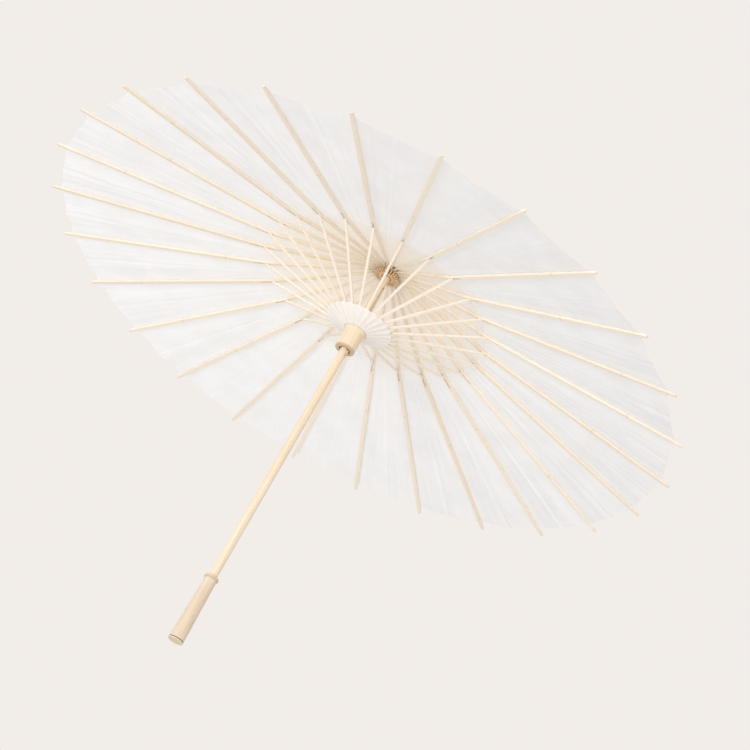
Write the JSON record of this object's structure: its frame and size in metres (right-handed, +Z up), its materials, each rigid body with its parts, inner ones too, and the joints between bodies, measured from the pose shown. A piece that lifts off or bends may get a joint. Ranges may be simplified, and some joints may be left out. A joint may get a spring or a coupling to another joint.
{
  "type": "paper parasol",
  "caption": "Folding paper parasol: slim bamboo ribs and stretchers hinge on a slotted head and a sliding runner round a straight wooden shaft with a turned handle.",
  "frame": {"origin": "centre of the handle's flat butt", "axes": "+Z up the shaft, from the handle's butt to the head; +X along the first rib"},
  "size_m": [0.84, 0.8342, 0.563],
  "materials": {
    "rib_bamboo": "planed bamboo, satin",
    "stretcher_bamboo": "planed bamboo, satin",
    "shaft_wood": "pale turned wood, satin",
    "handle_wood": "pale turned wood, satin",
    "head_wood": "tan turned wood, satin",
    "runner_wood": "pale turned wood, satin",
    "bamboo_catch": "split bamboo, satin",
    "canopy_paper": "oiled white paper, faint sheen, lets light through",
    "collar_paper": "white paper, matt",
    "cap_paper": "white paper, matt"
  },
  "bodies": {
    "root": {"shaft": "shaft_wood", "handle": "handle_wood", "head": "head_wood", "canopy": "canopy_paper", "top_cap": "cap_paper"},
    "rib_01": {"rib_01": "rib_bamboo"},
    "rib_02": {"rib_02": "rib_bamboo"},
    "rib_03": {"rib_03": "rib_bamboo"},
    "rib_04": {"rib_04": "rib_bamboo"},
    "rib_05": {"rib_05": "rib_bamboo"},
    "rib_06": {"rib_06": "rib_bamboo"},
    "rib_07": {"rib_07": "rib_bamboo"},
    "rib_08": {"rib_08": "rib_bamboo"},
    "rib_09": {"rib_09": "rib_bamboo"},
    "rib_10": {"rib_10": "rib_bamboo"},
    "rib_11": {"rib_11": "rib_bamboo"},
    "rib_12": {"rib_12": "rib_bamboo"},
    "rib_13": {"rib_13": "rib_bamboo"},
    "rib_14": {"rib_14": "rib_bamboo"},
    "rib_15": {"rib_15": "rib_bamboo"},
    "rib_16": {"rib_16": "rib_bamboo"},
    "rib_17": {"rib_17": "rib_bamboo"},
    "rib_18": {"rib_18": "rib_bamboo"},
    "rib_19": {"rib_19": "rib_bamboo"},
    "rib_20": {"rib_20": "rib_bamboo"},
    "rib_21": {"rib_21": "rib_bamboo"},
    "rib_22": {"rib_22": "rib_bamboo"},
    "rib_23": {"rib_23": "rib_bamboo"},
    "rib_24": {"rib_24": "rib_bamboo"},
    "rib_25": {"rib_25": "rib_bamboo"},
    "rib_26": {"rib_26": "rib_bamboo"},
    "stretcher_01": {"stretcher_01": "stretcher_bamboo"},
    "stretcher_02": {"stretcher_02": "stretcher_bamboo"},
    "stretcher_03": {"stretcher_03": "stretcher_bamboo"},
    "stretcher_04": {"stretcher_04": "stretcher_bamboo"},
    "stretcher_05": {"stretcher_05": "stretcher_bamboo"},
    "stretcher_06": {"stretcher_06": "stretcher_bamboo"},
    "stretcher_07": {"stretcher_07": "stretcher_bamboo"},
    "stretcher_08": {"stretcher_08": "stretcher_bamboo"},
    "stretcher_09": {"stretcher_09": "stretcher_bamboo"},
    "stretcher_10": {"stretcher_10": "stretcher_bamboo"},
    "stretcher_11": {"stretcher_11": "stretcher_bamboo"},
    "stretcher_12": {"stretcher_12": "stretcher_bamboo"},
    "stretcher_13": {"stretcher_13": "stretcher_bamboo"},
    "stretcher_14": {"stretcher_14": "stretcher_bamboo"},
    "stretcher_15": {"stretcher_15": "stretcher_bamboo"},
    "stretcher_16": {"stretcher_16": "stretcher_bamboo"},
    "stretcher_17": {"stretcher_17": "stretcher_bamboo"},
    "stretcher_18": {"stretcher_18": "stretcher_bamboo"},
    "stretcher_19": {"stretcher_19": "stretcher_bamboo"},
    "stretcher_20": {"stretcher_20": "stretcher_bamboo"},
    "stretcher_21": {"stretcher_21": "stretcher_bamboo"},
    "stretcher_22": {"stretcher_22": "stretcher_bamboo"},
    "stretcher_23": {"stretcher_23": "stretcher_bamboo"},
    "stretcher_24": {"stretcher_24": "stretcher_bamboo"},
    "stretcher_25": {"stretcher_25": "stretcher_bamboo"},
    "stretcher_26": {"stretcher_26": "stretcher_bamboo"},
    "runner": {"runner": "runner_wood", "collar": "collar_paper"},
    "catch": {"catch": "bamboo_catch"}
  },
  "joints": [
    {"name": "rib_01_hinge", "type": "hinge", "parent": "root", "child": "rib_01", "pos_m": [0.012, 0, 0.54], "axis": [0, 1, 0], "range_deg": [0, 70], "deforming": ["canopy", "collar"]},
    {"name": "rib_02_hinge", "type": "hinge", "parent": "root", "child": "rib_02", "pos_m": [0.01165, 0.00287, 0.54], "axis": [-0.2393, 0.9709, 0], "range_deg": [0, 70]},
    {"name": "rib_03_hinge", "type": "hinge", "parent": "root", "child": "rib_03", "pos_m": [0.01063, 0.00558, 0.54], "axis": [-0.4647, 0.8855, 0], "range_deg": [0, 70]},
    {"name": "rib_04_hinge", "type": "hinge", "parent": "root", "child": "rib_04", "pos_m": [0.00898, 0.00796, 0.54], "axis": [-0.6631, 0.7485, 0], "range_deg": [0, 70]},
    {"name": "rib_05_hinge", "type": "hinge", "parent": "root", "child": "rib_05", "pos_m": [0.00682, 0.00988, 0.54], "axis": [-0.823, 0.5681, 0], "range_deg": [0, 70]},
    {"name": "rib_06_hinge", "type": "hinge", "parent": "root", "child": "rib_06", "pos_m": [0.00426, 0.01122, 0.54], "axis": [-0.935, 0.3546, 0], "range_deg": [0, 70]},
    {"name": "rib_07_hinge", "type": "hinge", "parent": "root", "child": "rib_07", "pos_m": [0.00145, 0.01191, 0.54], "axis": [-0.9927, 0.1205, 0], "range_deg": [0, 70]},
    {"name": "rib_08_hinge", "type": "hinge", "parent": "root", "child": "rib_08", "pos_m": [-0.00145, 0.01191, 0.54], "axis": [-0.9927, -0.1205, 0], "range_deg": [0, 70]},
    {"name": "rib_09_hinge", "type": "hinge", "parent": "root", "child": "rib_09", "pos_m": [-0.00426, 0.01122, 0.54], "axis": [-0.935, -0.3546, 0], "range_deg": [0, 70]},
    {"name": "rib_10_hinge", "type": "hinge", "parent": "root", "child": "rib_10", "pos_m": [-0.00682, 0.00988, 0.54], "axis": [-0.823, -0.5681, 0], "range_deg": [0, 70]},
    {"name": "rib_11_hinge", "type": "hinge", "parent": "root", "child": "rib_11", "pos_m": [-0.00898, 0.00796, 0.54], "axis": [-0.6631, -0.7485, 0], "range_deg": [0, 70]},
    {"name": "rib_12_hinge", "type": "hinge", "parent": "root", "child": "rib_12", "pos_m": [-0.01063, 0.00558, 0.54], "axis": [-0.4647, -0.8855, 0], "range_deg": [0, 70]},
    {"name": "rib_13_hinge", "type": "hinge", "parent": "root", "child": "rib_13", "pos_m": [-0.01165, 0.00287, 0.54], "axis": [-0.2393, -0.9709, 0], "range_deg": [0, 70]},
    {"name": "rib_14_hinge", "type": "hinge", "parent": "root", "child": "rib_14", "pos_m": [-0.012, 0, 0.54], "axis": [0, -1, 0], "range_deg": [0, 70]},
    {"name": "rib_15_hinge", "type": "hinge", "parent": "root", "child": "rib_15", "pos_m": [-0.01165, -0.00287, 0.54], "axis": [0.2393, -0.9709, 0], "range_deg": [0, 70]},
    {"name": "rib_16_hinge", "type": "hinge", "parent": "root", "child": "rib_16", "pos_m": [-0.01063, -0.00558, 0.54], "axis": [0.4647, -0.8855, 0], "range_deg": [0, 70]},
    {"name": "rib_17_hinge", "type": "hinge", "parent": "root", "child": "rib_17", "pos_m": [-0.00898, -0.00796, 0.54], "axis": [0.6631, -0.7485, 0], "range_deg": [0, 70]},
    {"name": "rib_18_hinge", "type": "hinge", "parent": "root", "child": "rib_18", "pos_m": [-0.00682, -0.00988, 0.54], "axis": [0.823, -0.5681, 0], "range_deg": [0, 70]},
    {"name": "rib_19_hinge", "type": "hinge", "parent": "root", "child": "rib_19", "pos_m": [-0.00426, -0.01122, 0.54], "axis": [0.935, -0.3546, 0], "range_deg": [0, 70]},
    {"name": "rib_20_hinge", "type": "hinge", "parent": "root", "child": "rib_20", "pos_m": [-0.00145, -0.01191, 0.54], "axis": [0.9927, -0.1205, 0], "range_deg": [0, 70]},
    {"name": "rib_21_hinge", "type": "hinge", "parent": "root", "child": "rib_21", "pos_m": [0.00145, -0.01191, 0.54], "axis": [0.9927, 0.1205, 0], "range_deg": [0, 70]},
    {"name": "rib_22_hinge", "type": "hinge", "parent": "root", "child": "rib_22", "pos_m": [0.00426, -0.01122, 0.54], "axis": [0.935, 0.3546, 0], "range_deg": [0, 70]},
    {"name": "rib_23_hinge", "type": "hinge", "parent": "root", "child": "rib_23", "pos_m": [0.00682, -0.00988, 0.54], "axis": [0.823, 0.5681, 0], "range_deg": [0, 70]},
    {"name": "rib_24_hinge", "type": "hinge", "parent": "root", "child": "rib_24", "pos_m": [0.00898, -0.00796, 0.54], "axis": [0.6631, 0.7485, 0], "range_deg": [0, 70]},
    {"name": "rib_25_hinge", "type": "hinge", "parent": "root", "child": "rib_25", "pos_m": [0.01063, -0.00558, 0.54], "axis": [0.4647, 0.8855, 0], "range_deg": [0, 70]},
    {"name": "rib_26_hinge", "type": "hinge", "parent": "root", "child": "rib_26", "pos_m": [0.01165, -0.00287, 0.54], "axis": [0.2393, 0.9709, 0], "range_deg": [0, 70]},
    {"name": "stretcher_01_hinge", "type": "hinge", "parent": "rib_01", "child": "stretcher_01", "pos_m": [0.152, 0, 0.49599], "axis": [0, 1, 0], "range_deg": [-140, 0]},
    {"name": "stretcher_02_hinge", "type": "hinge", "parent": "rib_02", "child": "stretcher_02", "pos_m": [0.14758, 0.03638, 0.49599], "axis": [-0.2393, 0.9709, 0], "range_deg": [-140, 0]},
    {"name": "stretcher_03_hinge", "type": "hinge", "parent": "rib_03", "child": "stretcher_03", "pos_m": [0.13459, 0.07064, 0.49599], "axis": [-0.4647, 0.8855, 0], "range_deg": [-140, 0]},
    {"name": "stretcher_04_hinge", "type": "hinge", "parent": "rib_04", "child": "stretcher_04", "pos_m": [0.11377, 0.10079, 0.49599], "axis": [-0.6631, 0.7485, 0], "range_deg": [-140, 0]},
    {"name": "stretcher_05_hinge", "type": "hinge", "parent": "rib_05", "child": "stretcher_05", "pos_m": [0.08634, 0.12509, 0.49599], "axis": [-0.823, 0.5681, 0], "range_deg": [-140, 0]},
    {"name": "stretcher_06_hinge", "type": "hinge", "parent": "rib_06", "child": "stretcher_06", "pos_m": [0.0539, 0.14212, 0.49599], "axis": [-0.935, 0.3546, 0], "range_deg": [-140, 0]},
    {"name": "stretcher_07_hinge", "type": "hinge", "parent": "rib_07", "child": "stretcher_07", "pos_m": [0.01832, 0.15089, 0.49599], "axis": [-0.9927, 0.1205, 0], "range_deg": [-140, 0]},
    {"name": "stretcher_08_hinge", "type": "hinge", "parent": "rib_08", "child": "stretcher_08", "pos_m": [-0.01832, 0.15089, 0.49599], "axis": [-0.9927, -0.1205, 0], "range_deg": [-140, 0]},
    {"name": "stretcher_09_hinge", "type": "hinge", "parent": "rib_09", "child": "stretcher_09", "pos_m": [-0.0539, 0.14212, 0.49599], "axis": [-0.935, -0.3546, 0], "range_deg": [-140, 0]},
    {"name": "stretcher_10_hinge", "type": "hinge", "parent": "rib_10", "child": "stretcher_10", "pos_m": [-0.08634, 0.12509, 0.49599], "axis": [-0.823, -0.5681, 0], "range_deg": [-140, 0]},
    {"name": "stretcher_11_hinge", "type": "hinge", "parent": "rib_11", "child": "stretcher_11", "pos_m": [-0.11377, 0.10079, 0.49599], "axis": [-0.6631, -0.7485, 0], "range_deg": [-140, 0]},
    {"name": "stretcher_12_hinge", "type": "hinge", "parent": "rib_12", "child": "stretcher_12", "pos_m": [-0.13459, 0.07064, 0.49599], "axis": [-0.4647, -0.8855, 0], "range_deg": [-140, 0]},
    {"name": "stretcher_13_hinge", "type": "hinge", "parent": "rib_13", "child": "stretcher_13", "pos_m": [-0.14758, 0.03638, 0.49599], "axis": [-0.2393, -0.9709, 0], "range_deg": [-140, 0]},
    {"name": "stretcher_14_hinge", "type": "hinge", "parent": "rib_14", "child": "stretcher_14", "pos_m": [-0.152, 0, 0.49599], "axis": [0, -1, 0], "range_deg": [-140, 0]},
    {"name": "stretcher_15_hinge", "type": "hinge", "parent": "rib_15", "child": "stretcher_15", "pos_m": [-0.14758, -0.03638, 0.49599], "axis": [0.2393, -0.9709, 0], "range_deg": [-140, 0]},
    {"name": "stretcher_16_hinge", "type": "hinge", "parent": "rib_16", "child": "stretcher_16", "pos_m": [-0.13459, -0.07064, 0.49599], "axis": [0.4647, -0.8855, 0], "range_deg": [-140, 0]},
    {"name": "stretcher_17_hinge", "type": "hinge", "parent": "rib_17", "child": "stretcher_17", "pos_m": [-0.11377, -0.10079, 0.49599], "axis": [0.6631, -0.7485, 0], "range_deg": [-140, 0]},
    {"name": "stretcher_18_hinge", "type": "hinge", "parent": "rib_18", "child": "stretcher_18", "pos_m": [-0.08634, -0.12509, 0.49599], "axis": [0.823, -0.5681, 0], "range_deg": [-140, 0]},
    {"name": "stretcher_19_hinge", "type": "hinge", "parent": "rib_19", "child": "stretcher_19", "pos_m": [-0.0539, -0.14212, 0.49599], "axis": [0.935, -0.3546, 0], "range_deg": [-140, 0]},
    {"name": "stretcher_20_hinge", "type": "hinge", "parent": "rib_20", "child": "stretcher_20", "pos_m": [-0.01832, -0.15089, 0.49599], "axis": [0.9927, -0.1205, 0], "range_deg": [-140, 0]},
    {"name": "stretcher_21_hinge", "type": "hinge", "parent": "rib_21", "child": "stretcher_21", "pos_m": [0.01832, -0.15089, 0.49599], "axis": [0.9927, 0.1205, 0], "range_deg": [-140, 0]},
    {"name": "stretcher_22_hinge", "type": "hinge", "parent": "rib_22", "child": "stretcher_22", "pos_m": [0.0539, -0.14212, 0.49599], "axis": [0.935, 0.3546, 0], "range_deg": [-140, 0]},
    {"name": "stretcher_23_hinge", "type": "hinge", "parent": "rib_23", "child": "stretcher_23", "pos_m": [0.08634, -0.12509, 0.49599], "axis": [0.823, 0.5681, 0], "range_deg": [-140, 0]},
    {"name": "stretcher_24_hinge", "type": "hinge", "parent": "rib_24", "child": "stretcher_24", "pos_m": [0.11377, -0.10079, 0.49599], "axis": [0.6631, 0.7485, 0], "range_deg": [-140, 0]},
    {"name": "stretcher_25_hinge", "type": "hinge", "parent": "rib_25", "child": "stretcher_25", "pos_m": [0.13459, -0.07064, 0.49599], "axis": [0.4647, 0.8855, 0], "range_deg": [-140, 0]},
    {"name": "stretcher_26_hinge", "type": "hinge", "parent": "rib_26", "child": "stretcher_26", "pos_m": [0.14758, -0.03638, 0.49599], "axis": [0.2393, 0.9709, 0], "range_deg": [-140, 0]},
    {"name": "runner_hinge", "type": "hinge", "parent": "stretcher_01", "child": "runner", "pos_m": [0.012, 0, 0.45199], "axis": [0, 1, 0], "range_deg": [0, 70]},
    {"name": "catch_press", "type": "hinge", "parent": "root", "child": "catch", "pos_m": [0.00167, -0.00199, 0.512], "axis": [0.766, 0.6428, 0], "range_deg": [0, 1.4], "stiffness_Nm_per_rad": 1, "springref_deg": -1.15}
  ],
  "couplings": [
    {"joint": "rib_02_hinge", "follows": "rib_01_hinge", "ratio": 1},
    {"joint": "rib_03_hinge", "follows": "rib_01_hinge", "ratio": 1},
    {"joint": "rib_04_hinge", "follows": "rib_01_hinge", "ratio": 1},
    {"joint": "rib_05_hinge", "follows": "rib_01_hinge", "ratio": 1},
    {"joint": "rib_06_hinge", "follows": "rib_01_hinge", "ratio": 1},
    {"joint": "rib_07_hinge", "follows": "rib_01_hinge", "ratio": 1},
    {"joint": "rib_08_hinge", "follows": "rib_01_hinge", "ratio": 1},
    {"joint": "rib_09_hinge", "follows": "rib_01_hinge", "ratio": 1},
    {"joint": "rib_10_hinge", "follows": "rib_01_hinge", "ratio": 1},
    {"joint": "rib_11_hinge", "follows": "rib_01_hinge", "ratio": 1},
    {"joint": "rib_12_hinge", "follows": "rib_01_hinge", "ratio": 1},
    {"joint": "rib_13_hinge", "follows": "rib_01_hinge", "ratio": 1},
    {"joint": "rib_14_hinge", "follows": "rib_01_hinge", "ratio": 1},
    {"joint": "rib_15_hinge", "follows": "rib_01_hinge", "ratio": 1},
    {"joint": "rib_16_hinge", "follows": "rib_01_hinge", "ratio": 1},
    {"joint": "rib_17_hinge", "follows": "rib_01_hinge", "ratio": 1},
    {"joint": "rib_18_hinge", "follows": "rib_01_hinge", "ratio": 1},
    {"joint": "rib_19_hinge", "follows": "rib_01_hinge", "ratio": 1},
    {"joint": "rib_20_hinge", "follows": "rib_01_hinge", "ratio": 1},
    {"joint": "rib_21_hinge", "follows": "rib_01_hinge", "ratio": 1},
    {"joint": "rib_22_hinge", "follows": "rib_01_hinge", "ratio": 1},
    {"joint": "rib_23_hinge", "follows": "rib_01_hinge", "ratio": 1},
    {"joint": "rib_24_hinge", "follows": "rib_01_hinge", "ratio": 1},
    {"joint": "rib_25_hinge", "follows": "rib_01_hinge", "ratio": 1},
    {"joint": "rib_26_hinge", "follows": "rib_01_hinge", "ratio": 1},
    {"joint": "stretcher_01_hinge", "follows": "rib_01_hinge", "ratio": -2},
    {"joint": "stretcher_02_hinge", "follows": "rib_01_hinge", "ratio": -2},
    {"joint": "stretcher_03_hinge", "follows": "rib_01_hinge", "ratio": -2},
    {"joint": "stretcher_04_hinge", "follows": "rib_01_hinge", "ratio": -2},
    {"joint": "stretcher_05_hinge", "follows": "rib_01_hinge", "ratio": -2},
    {"joint": "stretcher_06_hinge", "follows": "rib_01_hinge", "ratio": -2},
    {"joint": "stretcher_07_hinge", "follows": "rib_01_hinge", "ratio": -2},
    {"joint": "stretcher_08_hinge", "follows": "rib_01_hinge", "ratio": -2},
    {"joint": "stretcher_09_hinge", "follows": "rib_01_hinge", "ratio": -2},
    {"joint": "stretcher_10_hinge", "follows": "rib_01_hinge", "ratio": -2},
    {"joint": "stretcher_11_hinge", "follows": "rib_01_hinge", "ratio": -2},
    {"joint": "stretcher_12_hinge", "follows": "rib_01_hinge", "ratio": -2},
    {"joint": "stretcher_13_hinge", "follows": "rib_01_hinge", "ratio": -2},
    {"joint": "stretcher_14_hinge", "follows": "rib_01_hinge", "ratio": -2},
    {"joint": "stretcher_15_hinge", "follows": "rib_01_hinge", "ratio": -2},
    {"joint": "stretcher_16_hinge", "follows": "rib_01_hinge", "ratio": -2},
    {"joint": "stretcher_17_hinge", "follows": "rib_01_hinge", "ratio": -2},
    {"joint": "stretcher_18_hinge", "follows": "rib_01_hinge", "ratio": -2},
    {"joint": "stretcher_19_hinge", "follows": "rib_01_hinge", "ratio": -2},
    {"joint": "stretcher_20_hinge", "follows": "rib_01_hinge", "ratio": -2},
    {"joint": "stretcher_21_hinge", "follows": "rib_01_hinge", "ratio": -2},
    {"joint": "stretcher_22_hinge", "follows": "rib_01_hinge", "ratio": -2},
    {"joint": "stretcher_23_hinge", "follows": "rib_01_hinge", "ratio": -2},
    {"joint": "stretcher_24_hinge", "follows": "rib_01_hinge", "ratio": -2},
    {"joint": "stretcher_25_hinge", "follows": "rib_01_hinge", "ratio": -2},
    {"joint": "stretcher_26_hinge", "follows": "rib_01_hinge", "ratio": -2},
    {"joint": "runner_hinge", "follows": "rib_01_hinge", "ratio": 1}
  ]
}
